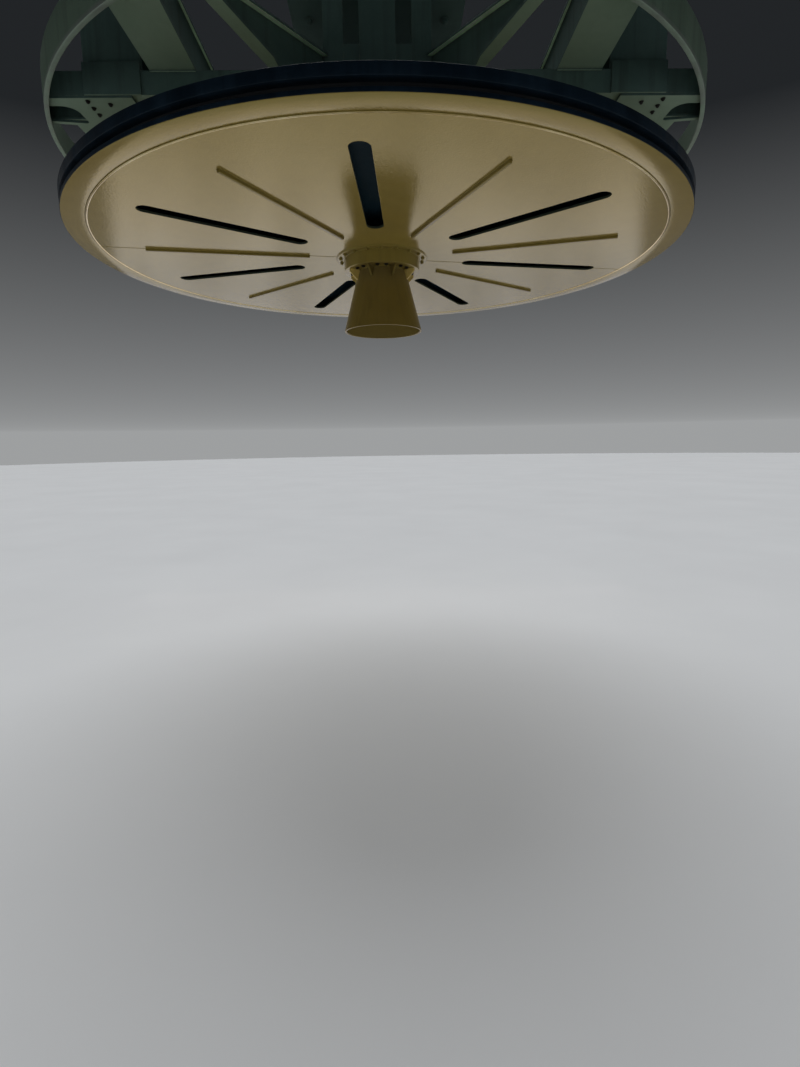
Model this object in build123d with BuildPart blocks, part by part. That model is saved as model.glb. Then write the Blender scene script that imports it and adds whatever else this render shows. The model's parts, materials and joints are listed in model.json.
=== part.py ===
from build123d import *
from math import cos, degrees, radians, sin, sqrt
import os

# A horizontal ropeway return wheel and the steel frame it hangs from.
# Millimetres. +Z is up, +X is across the station and -Y is the side that people stand on.
# The origin is the centre of the head plate's top face, where the frame is bolted up.
# Heights are measured up from the underside of the wheel's lower disc.

# Wheel discs
mount_height = 1300
disc_r = 1700
disc_thick = 12
cavity_height = 74
weld_gap = 0.5

# Rim, from the discs outwards and from the bottom up
rim_core_thick = 26
lining_thick = 46
groove_depth = 40
flange_step = 2
lower_flange_thick = 18
groove_height = 34
rope_seat_depth = 6
rim_chamfer = 4

# Slots in the lower disc and webs that stand out under it
spoke_count = 7
spoke_turn = -3
slot_width = 95
slot_rim_gap = 206
slot_hub_gap = 301
web_thick = 18
web_drop = 20
web_edge_rim_gap = 257
web_edge_hub_gap = 221

# Hub
hub_r = 243
hub_drop = 83
hub_rise = 60
hub_chamfer = 5
doubler_width = 47
doubler_thick = 8
cover_width = 95
cover_thick = 24
cover_chamfer = 8

# Cone under the hub, with gussets round its neck
neck_r = 156
cone_flare = 98
cone_bottom_drop = 455
cone_wall = 12
cone_lip = 4
cone_cap_thick = 14
gusset_count = 8
gusset_thick = 12
gusset_reach = 66
gusset_height = 62
gusset_nose = 14

# Shaft that stays still
shaft_r = 110
shaft_gap = 0.4
collar_width = 80
collar_thick = 40
collar_chamfer = 13

# Curved carriage rail, whose top edge is at deck level
deck_height = 607
rail_clearance = 20
rail_depth = 151
rail_web_thick = 10
rail_flange_width = 22
rail_flange_thick = 12
rail_tail_length = 900
rail_sections = 4
rail_gap = 0.5
splice_length = 140
splice_height = 96
splice_thick = 8

# Box girders across the frame, under deck level
girder_front = 868
girder_width = 230
girder_depth = 106
girder_wall = 12
girder_opening_depth = 142

# Long beams on the girders, and cross beams from them to the carrier box
beam_x = 984
beam_width = 220
beam_depth = 200
beam_flange_thick = 15
beam_web_thick = 10
beam_lip = 12
beam_overhang = 60
cross_beam_width = 200

# Tapered arms
arm_root_x = 269
arm_tip_x = 791
arm_flange_width = 64
arm_flange_thick = 12
arm_web_thick = 10
arm_root_depth = 352
arm_tip_depth = 80
arm_knee_y = 1301
arm_flange_clip = 96

# Carrier box round the shaft
box_x = 400
box_y = 340
box_wall = 20
box_height = 400
base_thick = 40

# Posts
post_depth = 90
centre_post_width = 200
side_post_width = 110
side_post_gap = 88
post_flange_thick = 16
post_web_thick = 10
tie_low = 892
tie_height = 92
tie_thick = 12
corner_post_gap = 46
corner_post_width = 274
corner_post_depth = 200

# Head plates
head_thick = 30
head_width = 1000
head_bolt_ring_r = 430
head_bolt_count = 8
head_bolt_r = 13.5
pad_margin = 60
pad_bolt_r = 11
pad_bolt_inset = 32

# Plates under the girder ends, each open beside the rail and tied to it by a narrow strip
end_plate_thick = 12
end_plate_inner_x = 1190
end_plate_depth = 420
opening_width = 330
opening_inset = 66
opening_depth = 160
opening_front_round = 70
opening_back_round = 16
strip_width = 24
strip_skew = 50
notch_width = 256

sides = {"left": -1, "right": 1}
ends = {"front": -1, "rear": 1}

wheel_depth = 2 * disc_thick + cavity_height
rim_core_r = disc_r + rim_core_thick
groove_bottom_r = rim_core_r + lining_thick
rim_r = groove_bottom_r + groove_depth
groove_bottom = flange_step + lower_flange_thick
groove_top = groove_bottom + groove_height

slot_inner_r = hub_r + slot_hub_gap
slot_outer_r = disc_r - slot_rim_gap
web_edge_inner_r = hub_r + web_edge_hub_gap
web_edge_outer_r = disc_r - web_edge_rim_gap
doubler_r = hub_r + doubler_width
spoke_step = 360 / spoke_count
first_slot = spoke_turn - 90
first_web = first_slot + spoke_step / 2

rail_r = rim_r + rail_clearance
rail_web_r = rail_r - rail_web_thick
rail_bottom = deck_height - rail_depth
girder_low = deck_height - girder_depth
girder_mid = girder_front - girder_width / 2
head_low = mount_height - head_thick


def level(height):
    """Z of a height above the underside of the lower disc."""
    return height - mount_height


def radial_plane(angle):
    """Upright plane through the axis, with x outwards at the angle and y up."""
    turn = radians(angle)
    return Plane(origin=(0, 0, 0), x_dir=(cos(turn), sin(turn), 0), z_dir=(sin(turn), -cos(turn), 0))


def ring_profile(inner, outer, low, high):
    """Draws a ring's section: radii along x and heights above the disc along y."""
    with Locations(((inner + outer) / 2, level((low + high) / 2))):
        Rectangle(outer - inner, high - low)


def i_section(width, depth, flange, web):
    """Draws a wide-flange section centred where it is placed."""
    Rectangle(width, depth)
    with Locations(((width + web) / 4, 0), (-(width + web) / 4, 0)):
        Rectangle((width - web) / 2, depth - 2 * flange, mode=Mode.SUBTRACT)


def box_section(width, depth, flange, web, lip):
    """Draws a box section whose flanges stand past its two webs by the lip."""
    Rectangle(width, depth)
    Rectangle(width - 2 * (lip + web), depth - 2 * flange, mode=Mode.SUBTRACT)
    with Locations(((width - lip) / 2, 0), ((lip - width) / 2, 0)):
        Rectangle(lip, depth - 2 * flange, mode=Mode.SUBTRACT)


def rail_profile(way):
    """Draws the rail's upright web and its inward bottom flange, on the side that way gives."""
    with Locations((way * (rail_r - rail_web_thick / 2), level(deck_height - rail_depth / 2))):
        Rectangle(rail_web_thick, rail_depth)
    with Locations((way * (rail_r - rail_flange_width / 2), level(rail_bottom + rail_flange_thick / 2))):
        Rectangle(rail_flange_width, rail_flange_thick)


def save(piece, name):
    """Labels a finished piece and writes its file."""
    piece.part.label = name
    export_step(piece.part, f"parts/{name}.step")


os.makedirs("parts", exist_ok=True)

# Lower disc with its slots, and slits that let the webs through
with BuildPart() as lower_disc:
    with BuildSketch(Plane.XY.offset(level(0))):
        Circle(disc_r)
        Circle(hub_r + weld_gap, mode=Mode.SUBTRACT)
        with PolarLocations((slot_inner_r + slot_outer_r) / 2, spoke_count, start_angle=first_slot):
            SlotOverall(slot_outer_r - slot_inner_r, slot_width, mode=Mode.SUBTRACT)
        web_edge_mid_r = (web_edge_inner_r + web_edge_outer_r) / 2
        with PolarLocations(web_edge_mid_r, spoke_count, start_angle=first_web):
            Rectangle(web_edge_outer_r - web_edge_inner_r + 2 * weld_gap, web_thick + 2 * weld_gap,
                      mode=Mode.SUBTRACT)
    extrude(amount=disc_thick)
save(lower_disc, "lower_disc")

with BuildPart() as upper_disc:
    with BuildSketch(Plane.XY.offset(level(wheel_depth - disc_thick))):
        Circle(disc_r - weld_gap)
        Circle(hub_r + weld_gap, mode=Mode.SUBTRACT)
    extrude(amount=disc_thick)
save(upper_disc, "upper_disc")

# Webs between the discs, with an edge that stands out under the lower disc
with BuildPart() as radial_webs:
    for k in range(spoke_count):
        with BuildSketch(radial_plane(first_web + spoke_step * k)):
            ring_profile(web_edge_inner_r, web_edge_outer_r, -web_drop, disc_thick)
            ring_profile(doubler_r, disc_r - weld_gap, disc_thick, disc_thick + cavity_height)
        extrude(amount=web_thick / 2, both=True)
save(radial_webs, "radial_webs")

# Rim: a flat lower flange, a core, a rope lining and a thick upper flange
with BuildPart() as rim_lower_flange:
    with BuildSketch(Plane.XZ):
        ring_profile(disc_r + weld_gap, rim_r, flange_step, groove_bottom)
    revolve(axis=Axis.Z)
save(rim_lower_flange, "rim_lower_flange")

with BuildPart() as rim_core:
    with BuildSketch(Plane.XZ):
        ring_profile(disc_r, rim_core_r, groove_bottom, groove_top)
    revolve(axis=Axis.Z)
save(rim_core, "rim_core")

with BuildPart() as rope_lining:
    with BuildSketch(Plane.XZ):
        with BuildLine():
            Polyline((rim_core_r, level(groove_bottom)), (groove_bottom_r, level(groove_bottom)),
                     (groove_bottom_r - rope_seat_depth, level(groove_bottom + groove_height / 2)),
                     (groove_bottom_r, level(groove_top)), (rim_core_r, level(groove_top)), close=True)
        make_face()
    revolve(axis=Axis.Z)
save(rope_lining, "rope_lining")

with BuildPart() as rim_upper_flange:
    with BuildSketch(Plane.XZ) as upper_flange_section:
        ring_profile(disc_r, rim_r, groove_top, wheel_depth)
        chamfer(upper_flange_section.vertices().group_by(Axis.X)[-1].sort_by(Axis.Y)[-1],
                length=rim_chamfer)
    revolve(axis=Axis.Z)
save(rim_upper_flange, "rim_upper_flange")

# Hub barrel round the fixed shaft, flat below, where the cone is bolted on
with BuildPart() as hub_barrel:
    with BuildSketch(Plane.XZ) as hub_section:
        ring_profile(shaft_r + shaft_gap, hub_r, -hub_drop, wheel_depth + hub_rise)
        chamfer(hub_section.vertices().group_by(Axis.X)[-1], length=hub_chamfer)
    revolve(axis=Axis.Z)
save(hub_barrel, "hub_barrel")

with BuildPart() as hub_doublers:
    with BuildSketch(Plane.XZ):
        ring_profile(hub_r + weld_gap, doubler_r, -doubler_thick, 0)
        ring_profile(hub_r + weld_gap, doubler_r, wheel_depth, wheel_depth + doubler_thick)
    revolve(axis=Axis.Z)
save(hub_doublers, "hub_doublers")

cover_low = wheel_depth + hub_rise
with BuildPart() as bearing_cover:
    with BuildSketch(Plane.XZ) as cover_section:
        ring_profile(shaft_r + shaft_gap, shaft_r + cover_width, cover_low, cover_low + cover_thick)
        chamfer(cover_section.vertices().group_by(Axis.X)[-1].sort_by(Axis.Y)[-1], length=cover_chamfer)
    revolve(axis=Axis.Z)
save(bearing_cover, "bearing_cover")

# Cone with its end plate and the gussets round its neck
cone_r = neck_r + cone_flare
cone_slope = cone_flare / (cone_bottom_drop - hub_drop)
with BuildPart() as cone_shell:
    with BuildSketch(Plane.XZ):
        with BuildLine():
            Polyline((neck_r, level(-hub_drop)), (cone_r, level(-cone_bottom_drop)),
                     (cone_r - cone_wall, level(-cone_bottom_drop)), (neck_r - cone_wall, level(-hub_drop)),
                     close=True)
        make_face()
    revolve(axis=Axis.Z)
save(cone_shell, "cone_shell")

with BuildPart() as cone_cap:
    with BuildSketch(Plane.XY.offset(level(cone_lip - cone_bottom_drop))):
        Circle(cone_r - cone_wall - cone_slope * (cone_lip + cone_cap_thick) - weld_gap)
    extrude(amount=cone_cap_thick)
save(cone_cap, "cone_cap")

gusset_step = 360 / gusset_count
gusset_foot = neck_r + cone_slope * gusset_height
with BuildPart() as cone_gussets:
    for k in range(gusset_count):
        with BuildSketch(radial_plane(gusset_step * (k + 0.5) - 90)):
            with BuildLine():
                Polyline((neck_r + weld_gap, level(-hub_drop)),
                         (neck_r + gusset_reach, level(-hub_drop)),
                         (neck_r + gusset_reach, level(-hub_drop - gusset_nose)),
                         (gusset_foot + weld_gap, level(-hub_drop - gusset_height)), close=True)
            make_face()
        extrude(amount=gusset_thick / 2, both=True)
save(cone_gussets, "cone_gussets")

# Shaft, fixed in the carrier box
with BuildPart() as shaft:
    with BuildSketch(Plane.XY.offset(level(-hub_drop))):
        Circle(shaft_r)
    extrude(amount=hub_drop + deck_height + box_height - box_wall)
save(shaft, "shaft")

box_low = deck_height - base_thick
with BuildPart() as shaft_collar:
    with BuildSketch(Plane.XZ) as collar_section:
        ring_profile(shaft_r, shaft_r + collar_width, box_low - collar_thick, box_low)
        chamfer(collar_section.vertices().group_by(Axis.X)[-1].sort_by(Axis.Y)[0], length=collar_chamfer)
    revolve(axis=Axis.Z)
save(shaft_collar, "shaft_collar")

# Carrier box
with BuildPart() as carrier_base:
    with BuildSketch(Plane.XY.offset(level(box_low))):
        Rectangle(2 * box_x, 2 * box_y)
        Circle(shaft_r, mode=Mode.SUBTRACT)
    extrude(amount=base_thick)
save(carrier_base, "carrier_base")

for end, way in ends.items():
    with BuildPart() as carrier_end_plate:
        with BuildSketch(Plane.XY.offset(level(deck_height))):
            with Locations((0, way * (box_y - box_wall / 2))):
                Rectangle(2 * box_x, box_wall)
        extrude(amount=box_height - box_wall)
    save(carrier_end_plate, f"carrier_{end}_plate")

with BuildPart() as carrier_side_plates:
    with BuildSketch(Plane.XY.offset(level(deck_height))):
        for way in sides.values():
            with Locations((way * (box_x - box_wall / 2), 0)):
                Rectangle(box_wall, 2 * (box_y - box_wall))
    extrude(amount=box_height - box_wall)
save(carrier_side_plates, "carrier_side_plates")

with BuildPart() as carrier_lid:
    with BuildSketch(Plane.XY.offset(level(deck_height + box_height - box_wall))):
        Rectangle(2 * box_x, 2 * box_y)
    extrude(amount=box_wall)
save(carrier_lid, "carrier_lid")

# Posts in front of and behind the carrier box, up to the head plate, as rows of x and width
side_post_x = (centre_post_width + side_post_width) / 2 + side_post_gap
posts = [(-side_post_x, side_post_width), (0, centre_post_width), (side_post_x, side_post_width)]
post_face = box_y + post_depth
for end, way in ends.items():
    with BuildPart() as carrier_posts:
        with BuildSketch(Plane.XY.offset(level(deck_height))):
            for x, width in posts:
                with Locations((x, way * (box_y + post_depth / 2))):
                    i_section(width, post_depth, post_flange_thick, post_web_thick)
        extrude(amount=head_low - deck_height)
    save(carrier_posts, f"carrier_posts_{end}")

with BuildPart() as post_ties:
    with BuildSketch(Plane.XY.offset(level(tie_low))):
        for x_way in sides.values():
            for y_way in ends.values():
                with Locations((x_way * (centre_post_width + side_post_gap) / 2,
                                y_way * (post_face - tie_thick / 2))):
                    Rectangle(side_post_gap, tie_thick)
    extrude(amount=tie_height)
save(post_ties, "post_ties")

with BuildPart() as head_plate:
    with BuildSketch(Plane.XY.offset(level(head_low))):
        Rectangle(head_width, head_width)
        with PolarLocations(head_bolt_ring_r, head_bolt_count, start_angle=180 / head_bolt_count):
            Circle(head_bolt_r, mode=Mode.SUBTRACT)
    extrude(amount=head_thick)
save(head_plate, "head_plate")

# Box girders, with their ends cut to the rail's curve, the front one open over the end plates
for end, way in ends.items():
    with BuildPart() as girder:
        with BuildSketch(Plane.YZ.offset(-rail_r)):
            with Locations((way * girder_mid, level(deck_height - girder_depth / 2))):
                Rectangle(girder_width, girder_depth)
                Rectangle(girder_width - 2 * girder_wall, girder_depth - 2 * girder_wall,
                          mode=Mode.SUBTRACT)
        extrude(amount=2 * rail_r)
        with BuildSketch(Plane.XY.offset(level(girder_low))):
            Circle(rail_web_r - rail_gap)
            with Locations((0, rail_r)):
                Rectangle(2 * (rail_web_r - rail_gap), 2 * rail_r)
        extrude(amount=girder_depth, mode=Mode.INTERSECT)
        if end == "front":
            with BuildSketch(Plane.XY.offset(level(girder_low))):
                for x_way in sides.values():
                    with Locations((x_way * (rail_r - opening_width / 2),
                                    opening_inset + girder_opening_depth / 2 - girder_front)):
                        Rectangle(opening_width, girder_opening_depth)
            extrude(amount=girder_wall, mode=Mode.SUBTRACT)
    save(girder, f"{end}_girder")

# Long beams from over the front of the rail to behind the rear girder
beam_inner_x = beam_x - beam_width / 2
beam_front = sqrt(rail_r**2 - beam_inner_x**2) + beam_overhang
beam_rear = girder_front + beam_overhang
for side, way in sides.items():
    with BuildPart() as long_beam:
        with BuildSketch(Plane.XZ.offset(-beam_rear)):
            with Locations((way * beam_x, level(deck_height + beam_depth / 2))):
                box_section(beam_width, beam_depth, beam_flange_thick, beam_web_thick, beam_lip)
        extrude(amount=beam_rear + beam_front)
    save(long_beam, f"long_beam_{side}")

with BuildPart() as cross_beams:
    for way in sides.values():
        with BuildSketch(Plane.YZ.offset(min(way * box_x, way * beam_inner_x))):
            with Locations((0, level(deck_height + beam_depth / 2))):
                i_section(cross_beam_width, beam_depth, beam_flange_thick, beam_web_thick)
        extrude(amount=beam_inner_x - box_x)
save(cross_beams, "cross_beams")

# Tapered arms, deep at the carrier box and shallow over the rail. The lower flange ends at the girder.
arm_tip_y = sqrt(rail_r**2 - arm_tip_x**2)
arm_run = arm_tip_y - box_y
arm_length = sqrt((arm_tip_x - arm_root_x)**2 + arm_run**2)
arm_knee = arm_length * (arm_knee_y - box_y) / arm_run
arm_slope = (arm_tip_x - arm_root_x) / arm_run
arm_half_width = arm_flange_width / 2 * arm_length / arm_run
for side, way in sides.items():
    heading = Vector(way * (arm_tip_x - arm_root_x), -arm_run, 0).normalized()
    arm_plane = Plane(origin=(way * arm_root_x, -box_y, level(deck_height)), x_dir=heading,
                      z_dir=heading.cross(Vector(0, 0, 1)))
    with BuildPart() as arm:
        with BuildSketch(arm_plane):
            with BuildLine():
                Polyline((0, 0), (arm_length, 0), (arm_length, arm_tip_depth), (arm_knee, arm_tip_depth),
                         (0, arm_root_depth), close=True)
            make_face()
        extrude(amount=arm_web_thick / 2, both=True)
        with BuildSketch(arm_plane):
            with BuildLine():
                Polyline((0, arm_root_depth), (arm_knee, arm_tip_depth), (arm_length, arm_tip_depth),
                         (arm_length, arm_tip_depth - arm_flange_thick),
                         (arm_knee, arm_tip_depth - arm_flange_thick),
                         (0, arm_root_depth - arm_flange_thick), close=True)
            make_face()
        extrude(amount=arm_flange_width / 2, both=True)
        with BuildSketch(Plane.XY.offset(level(deck_height))):
            with BuildLine():
                clip_y = girder_front + arm_flange_clip
                Polyline(*[(way * (arm_root_x + arm_slope * (y - box_y) + edge * arm_half_width), -y)
                           for y, edge in ((arm_tip_y, 1), (arm_tip_y, -1), (clip_y, -1),
                                           (girder_front, -0.3), (girder_front, 1))], close=True)
            make_face()
        extrude(amount=arm_flange_thick)
        with BuildSketch(Plane.XY.offset(level(deck_height))):
            Rectangle(2 * (side_post_x + side_post_width / 2 + weld_gap), 2 * (post_face + weld_gap))
        extrude(amount=arm_root_depth, mode=Mode.SUBTRACT)
        split(bisect_by=Plane(origin=(0, -box_y, 0), z_dir=(0, -1, 0)), keep=Keep.TOP)
    save(arm, f"arm_{side}")

# Corner posts over the girders, with pads that are bolted up beside the head plate
corner_post_x = beam_x + beam_width / 2 + corner_post_gap + corner_post_width / 2
corners = [(x_way * corner_post_x, y_way * girder_mid)
           for x_way in sides.values() for y_way in ends.values()]
with BuildPart() as corner_posts:
    with BuildSketch(Plane.XY.offset(level(deck_height))):
        with Locations(*corners):
            i_section(corner_post_width, corner_post_depth, post_flange_thick, post_web_thick)
    extrude(amount=head_low - deck_height)
save(corner_posts, "corner_posts")

pad_depth = corner_post_depth + 2 * pad_margin
with BuildPart() as head_pads:
    with BuildSketch(Plane.XY.offset(level(head_low))):
        with Locations(*corners):
            Rectangle(corner_post_width + 2 * pad_margin, pad_depth)
            with GridLocations(0, pad_depth - 2 * pad_bolt_inset, 1, 2):
                Circle(pad_bolt_r, mode=Mode.SUBTRACT)
    extrude(amount=head_thick)
save(head_pads, "head_pads")

# Carriage rail: curved sections round the -Y side, then a straight tail on each side
rail_start = 180
rail_sweep = 180
rail_step = rail_sweep / rail_sections
gap_turn = degrees(rail_gap / rail_r)
for k in range(rail_sections):
    with BuildPart() as rail_section:
        with BuildSketch(radial_plane(rail_start + rail_step * k + gap_turn / 2)):
            rail_profile(1)
        revolve(axis=Axis.Z, revolution_arc=rail_step - gap_turn)
    save(rail_section, f"rail_section_{k + 1}")

for side, way in sides.items():
    with BuildPart() as rail_tail:
        with BuildSketch(Plane.XZ.offset(-rail_tail_length)):
            rail_profile(way)
        extrude(amount=rail_tail_length - rail_gap)
    save(rail_tail, f"rail_tail_{side}")

# Cover plates on the outside of the rail's middle joint and of its joints with the tails
splice_turn = degrees(splice_length / rail_r)
splice_mid = deck_height - rail_depth / 2
with BuildPart() as rail_splices:
    for k in (0, rail_sections // 2, rail_sections):
        first = 0 if k == 0 else -splice_turn / 2
        last = 0 if k == rail_sections else splice_turn / 2
        with BuildSketch(radial_plane(rail_start + rail_step * k + first)):
            ring_profile(rail_r, rail_r + splice_thick,
                         splice_mid - splice_height / 2, splice_mid + splice_height / 2)
        revolve(axis=Axis.Z, revolution_arc=last - first)
    with BuildSketch(Plane.XZ.offset(-splice_length / 2)):
        for way in sides.values():
            with Locations((way * (rail_r + splice_thick / 2), level(splice_mid))):
                Rectangle(splice_thick, splice_height)
    extrude(amount=splice_length / 2)
save(rail_splices, "rail_splices")

# Plates under the ends of the front girder, with their rail openings and rear notches
opening_x = rail_r - opening_width
opening_front = opening_inset - girder_front
opening_back = opening_front + opening_depth
notch_x = rail_r - notch_width
notch_front = opening_back + strip_width - strip_skew * (notch_x - opening_x) / opening_width
plate_back = end_plate_depth - girder_front
for side, way in sides.items():
    with BuildPart() as end_plate:
        with BuildSketch(Plane.XY.offset(level(girder_low - end_plate_thick))):
            with Locations((way * (end_plate_inner_x + rail_r) / 2, (plate_back - girder_front) / 2)):
                Rectangle(rail_r - end_plate_inner_x, end_plate_depth)
            Circle(rail_web_r - rail_gap, mode=Mode.INTERSECT)
            with BuildLine():
                FilletPolyline((way * rail_r, opening_front), (way * opening_x, opening_front),
                               (way * opening_x, opening_back),
                               (way * rail_r, opening_back - strip_skew),
                               radius=[opening_front_round, opening_back_round])
                Line((way * rail_r, opening_back - strip_skew), (way * rail_r, opening_front))
            make_face(mode=Mode.SUBTRACT)
            with BuildLine():
                Polyline((way * notch_x, notch_front),
                         (way * rail_r, opening_back + strip_width - strip_skew),
                         (way * rail_r, plate_back), (way * notch_x, plate_back), close=True)
            make_face(mode=Mode.SUBTRACT)
        extrude(amount=end_plate_thick)
    save(end_plate, f"end_plate_{side}")
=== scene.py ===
import json
from math import cos, pi, radians, sin, sqrt

import bmesh
import bpy
from bpy.props import FloatProperty, FloatVectorProperty, IntProperty, PointerProperty
from bpy.types import Operator, Panel, PropertyGroup
from mathutils import Matrix, Vector


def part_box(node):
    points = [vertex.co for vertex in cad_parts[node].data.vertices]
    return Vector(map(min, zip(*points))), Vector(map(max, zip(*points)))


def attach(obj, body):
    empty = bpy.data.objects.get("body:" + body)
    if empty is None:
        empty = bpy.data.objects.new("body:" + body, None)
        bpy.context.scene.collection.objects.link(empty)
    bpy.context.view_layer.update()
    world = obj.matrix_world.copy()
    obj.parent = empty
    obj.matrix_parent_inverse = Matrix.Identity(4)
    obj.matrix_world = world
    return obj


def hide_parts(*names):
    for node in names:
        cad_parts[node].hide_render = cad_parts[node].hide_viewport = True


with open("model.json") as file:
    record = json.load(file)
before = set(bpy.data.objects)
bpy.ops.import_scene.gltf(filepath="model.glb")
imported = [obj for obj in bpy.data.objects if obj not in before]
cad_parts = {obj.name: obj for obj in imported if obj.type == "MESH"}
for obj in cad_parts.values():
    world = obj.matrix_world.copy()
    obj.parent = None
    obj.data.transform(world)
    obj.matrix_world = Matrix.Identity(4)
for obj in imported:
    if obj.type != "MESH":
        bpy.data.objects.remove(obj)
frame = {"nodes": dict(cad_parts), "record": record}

bl_info = {
    "name": "Return Wheel and Hanging Frame",
    "version": (1, 0, 0),
    "blender": (4, 5, 0),
    "location": "3D View > Sidebar > Return Wheel",
    "description": "Paint, turned surfaces, bolts, welds and a studio stage for a ropeway return wheel",
    "category": "Object",
}

# Metres. +Z is up the wheel's axis, and -Y is the side that people stand on.
NODES = frame["nodes"]
WHEEL, FRAME = "wheel", "frame"
UP, DOWN = (0, 0, 1), (0, 0, -1)
CORNERS = [(x_way, y_way) for x_way in (-1, 1) for y_way in (-1, 1)]

# Sizes that the CAD gives.
DISC_LOW, DISC_HIGH = (corner.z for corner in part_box("lower_disc"))
DISC_R, RIM_R, HUB_R, DOUBLER_R, CONE_R = (
    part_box(name)[1].x for name in ("lower_disc", "rim_upper_flange", "hub_barrel", "hub_doublers", "cone_shell"))
HUB_LOW, CONE_LOW, DECK, RAIL_LOW = (
    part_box(name)[0].z for name in ("hub_barrel", "cone_shell", "long_beam_right", "rail_section_2"))
RAIL_R = -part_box("rail_section_2")[0].y

# Sizes inside the CAD solids that their boxes don't give.
SHAFT_R, SHAFT_GAP = 0.110, 0.0004
NECK_R, CONE_WALL = 0.156, 0.012
RAIL_WEB, RAIL_FLANGE, RAIL_FLANGE_THICK = 0.010, 0.022, 0.012
GROOVE_R, GROOVE_MIDDLE, SEAT_DEPTH = 1.772, DISC_LOW + 0.037, 0.006
SPOKES = 7
SPOKE_STEP = 2 * pi / SPOKES
FIRST_SLOT = radians(-93)
FIRST_WEB = FIRST_SLOT + SPOKE_STEP / 2
SLOT_ENDS = (0.544, 1.494)
WEB_EDGE, WEB_HALF = (0.464, 1.443), 0.009
DOUBLER_THICK = 0.008
GUSSETS, GUSSET_HALF, GUSSET_HIGH, GUSSET_REACH = 8, 0.007, 0.062, 0.066
POST_X, POST_Y, POST_WIDE, POST_DEEP = 1.277, 0.753, 0.274, 0.200
CARRIER_POSTS, CARRIER_POST_Y, CARRIER_POST_DEEP = ((-0.243, 0.11), (0, 0.2), (0.243, 0.11)), 0.385, 0.09

# Gap between a piece and the piece that it is welded to.
SEAT_GAP = 0.0005

# Sizes of what is added here.
WEB_STANDS, WEB_INTO_DISC = 0.013, 0.004
LIP_INSET, LIP_BEAD = 0.0065, 0.0044
SEAM_BELOW, SEAM_INSET, SEAM_BEAD = 0.0002, 0.004, 0.006
WELD_ASIDE = 0.001
BAND_THICK, BAND_SLOPE = 0.002, 0.0008
WORN_BAND = (0.006, 0.020)
PLATE_EDGE = 0.0015
# Rings of bolts: their radius, their count, and half the width of a nut across its corners.
DOUBLER_RING, COVER_RING, COLLAR_RING, HEAD_RING = (
    (0.267, 18, 0.0105), (0.178, 12, 0.0095), (0.158, 8, 0.011), (0.430, 8, 0.020))
HUB_BOLT_R, HUB_BOLT_TURN, HUB_BOLT_SIZE = 0.195, 0.28, 0.0105
PAD_BOLT_ASIDE, PAD_BOLT_SIZE = 0.128, 0.016
SPLICE_BOLT_ASIDE, SPLICE_BOLT_RISE, SPLICE_BOLT_SIZE = 0.045, 0.026, 0.0095
END_PLATE_BOLTS, END_BOLT_SIZE = ((1.316, -0.816), (1.413, -0.843), (1.413, -0.784), (1.413, -0.726)), 0.0088
LAP_INNER_X, LAP_THICK, LAP_BELOW, LAP_ABOVE = 1.140, 0.009, 0.002, 0.035
TURNING_MARKS = 420.0
FLOOR_R, SHEET_Y, SHEET_HALF = 60, 2.6, 9


# ---- Settings

def paint_setting(name, description, default):
    return FloatVectorProperty(
        name=name, description=description, subtype="COLOR", size=3, min=0, max=1, default=default)


def number_setting(name, description, default, **more):
    return FloatProperty(name=name, description=description, default=default, **more)


def length_setting(name, description, default, low, high):
    return number_setting(name, description, default, unit="LENGTH", min=low, max=high)


class WheelFinish(PropertyGroup):
    """Sizes and colours of the wheel's finish."""
    enamel: paint_setting("Enamel", "Ochre enamel of the disc, hub and cone", (0.29, 0.205, 0.05))
    enamel_faded: paint_setting("Faded enamel", "Enamel where it has chalked", (0.30, 0.222, 0.066))
    rim: paint_setting("Rim", "Greasy blue-black paint of the upper rim flange", (0.003, 0.010, 0.018))
    # Painted shade: a dark bluish colour between the discs and on the slots' walls, standing in for the shade in that
    # cavity.
    inside: paint_setting("Inside", "Dark painted_shade between the discs", (0.015, 0.040, 0.055))
    lining: paint_setting("Lining", "Rubber of the rope lining", (0.007, 0.008, 0.010))
    edge_round: length_setting("Edge rounding", "Radius of the turned edges", 0.0025, 0.0005, 0.01)
    turn_segments: IntProperty(
        name="Turned segments", description="Steps round each turned surface", min=48, max=720, default=360)
    bead: length_setting("Weld bead", "Radius of the wheel's weld beads", 0.006, 0.001, 0.02)


class FrameFinish(PropertyGroup):
    """Sizes and colours of the frame's finish."""
    paint: paint_setting("Paint", "Pale green paint of the steel frame", (0.168, 0.235, 0.172))
    paint_faded: paint_setting("Faded paint", "Green paint where it has chalked", (0.20, 0.27, 0.20))
    rail_steel: paint_setting("Worn rail", "Bare steel where the rail is polished", (0.26, 0.27, 0.255))
    # Painted shade: the share of the frame paint's brightness left on upright faces.
    upright_shade: number_setting(
        "Upright shade", "Share of the paint's brightness left on faces that stand upright", 0.6, min=0, max=1)
    bead: length_setting("Weld bead", "Radius of the frame's weld beads", 0.006, 0.001, 0.02)


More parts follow.
